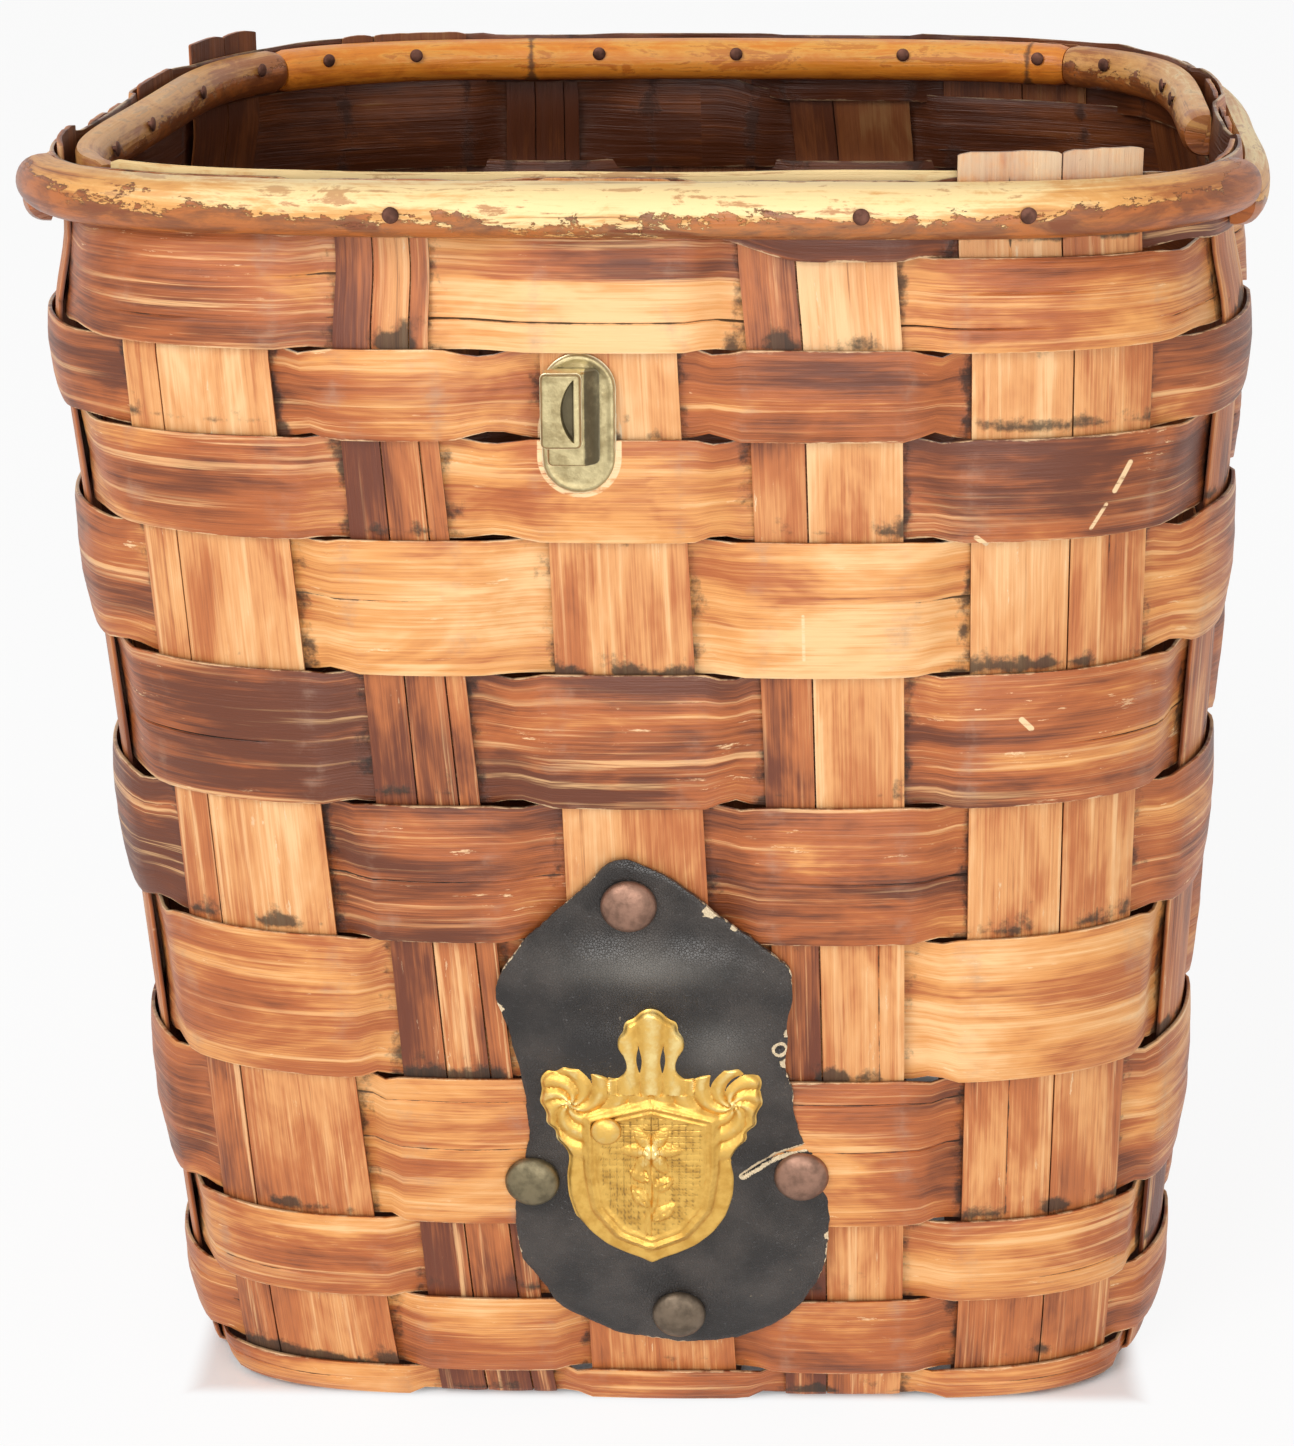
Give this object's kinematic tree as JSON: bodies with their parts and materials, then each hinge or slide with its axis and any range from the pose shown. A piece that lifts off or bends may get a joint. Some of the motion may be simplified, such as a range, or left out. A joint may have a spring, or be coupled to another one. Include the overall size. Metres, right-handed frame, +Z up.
{
  "type": "woven splint basket",
  "caption": "Tall rounded-rectangle basket of flat woven splints with a nailed cane rim, a leather patch with a badge, and a brass turn catch.",
  "frame": {"origin": "middle of the bottom of the bounding box, where the basket stands", "axes": "+Z up, the front with the catch and the patch faces -Y, +X to the right seen from the front"},
  "size_m": [0.3738, 0.3042, 0.408],
  "materials": {
    "stake_splint": "split wood, honey tan, fibrous, satin",
    "weaver_splint": "split wood, stained red-brown, satin",
    "rim_cane": "half-round cane, worn cream with bark left on",
    "amber_cane": "half-round cane, orange-amber varnish",
    "nail_iron": "rusted iron",
    "catch_brass": "satin aged brass",
    "stud_bronze": "worn bronze plating",
    "patch_leather": "black leather, cracked and chipped",
    "badge_gilt": "gilt brass"
  },
  "bodies": {
    "basket": {"stake_front_a": "stake_splint", "stake_front_b": "stake_splint", "stake_front_c": "stake_splint", "stake_front_d": "stake_splint", "stake_front_e": "stake_splint", "stake_side_p": "stake_splint", "stake_side_q": "stake_splint", "stake_side_r": "stake_splint", "stake_side_s": "stake_splint", "weaver_01": "weaver_splint", "weaver_02": "weaver_splint", "weaver_03": "weaver_splint", "weaver_04": "weaver_splint", "weaver_05": "weaver_splint", "weaver_06": "weaver_splint", "weaver_07": "weaver_splint", "weaver_08": "weaver_splint", "weaver_09": "weaver_splint", "weaver_10": "weaver_splint", "weaver_11": "weaver_splint", "weaver_12": "weaver_splint", "outer_hoop_front": "rim_cane", "outer_hoop_back": "rim_cane", "inner_hoop_right": "rim_cane", "inner_hoop_back": "amber_cane", "inner_hoop_left": "rim_cane", "rim_liner_front": "rim_cane", "inner_nail_back_1": "nail_iron", "inner_nail_back_2": "nail_iron", "inner_nail_back_3": "nail_iron", "inner_nail_back_4": "nail_iron", "inner_nail_back_5": "nail_iron", "inner_nail_back_6": "nail_iron", "inner_nail_left_1": "nail_iron", "inner_nail_left_2": "nail_iron", "inner_nail_left_3": "nail_iron", "inner_nail_left_4": "nail_iron", "inner_nail_right_1": "nail_iron", "inner_nail_right_2": "nail_iron", "inner_nail_right_3": "nail_iron", "outer_nail_front_1": "nail_iron", "outer_nail_front_2": "nail_iron", "outer_nail_front_3": "nail_iron", "catch_plate": "catch_brass", "catch_collar": "catch_brass", "catch_back_plate": "catch_brass", "patch_stud_top": "stud_bronze", "patch_stud_left": "stud_bronze", "patch_stud_right": "stud_bronze", "patch_stud_bottom": "stud_bronze", "leather_patch": "patch_leather", "badge": "badge_gilt", "badge_stud": "badge_gilt"},
    "turn_button": {"turn_button": "catch_brass", "spindle_washer": "catch_brass"}
  },
  "joints": [
    {"name": "button_turn", "type": "hinge", "parent": "basket", "child": "turn_button", "pos_m": [-0.02394, -0.147, 0.3373], "axis": [0, 1, 0], "range_deg": [0, 90]}
  ]
}
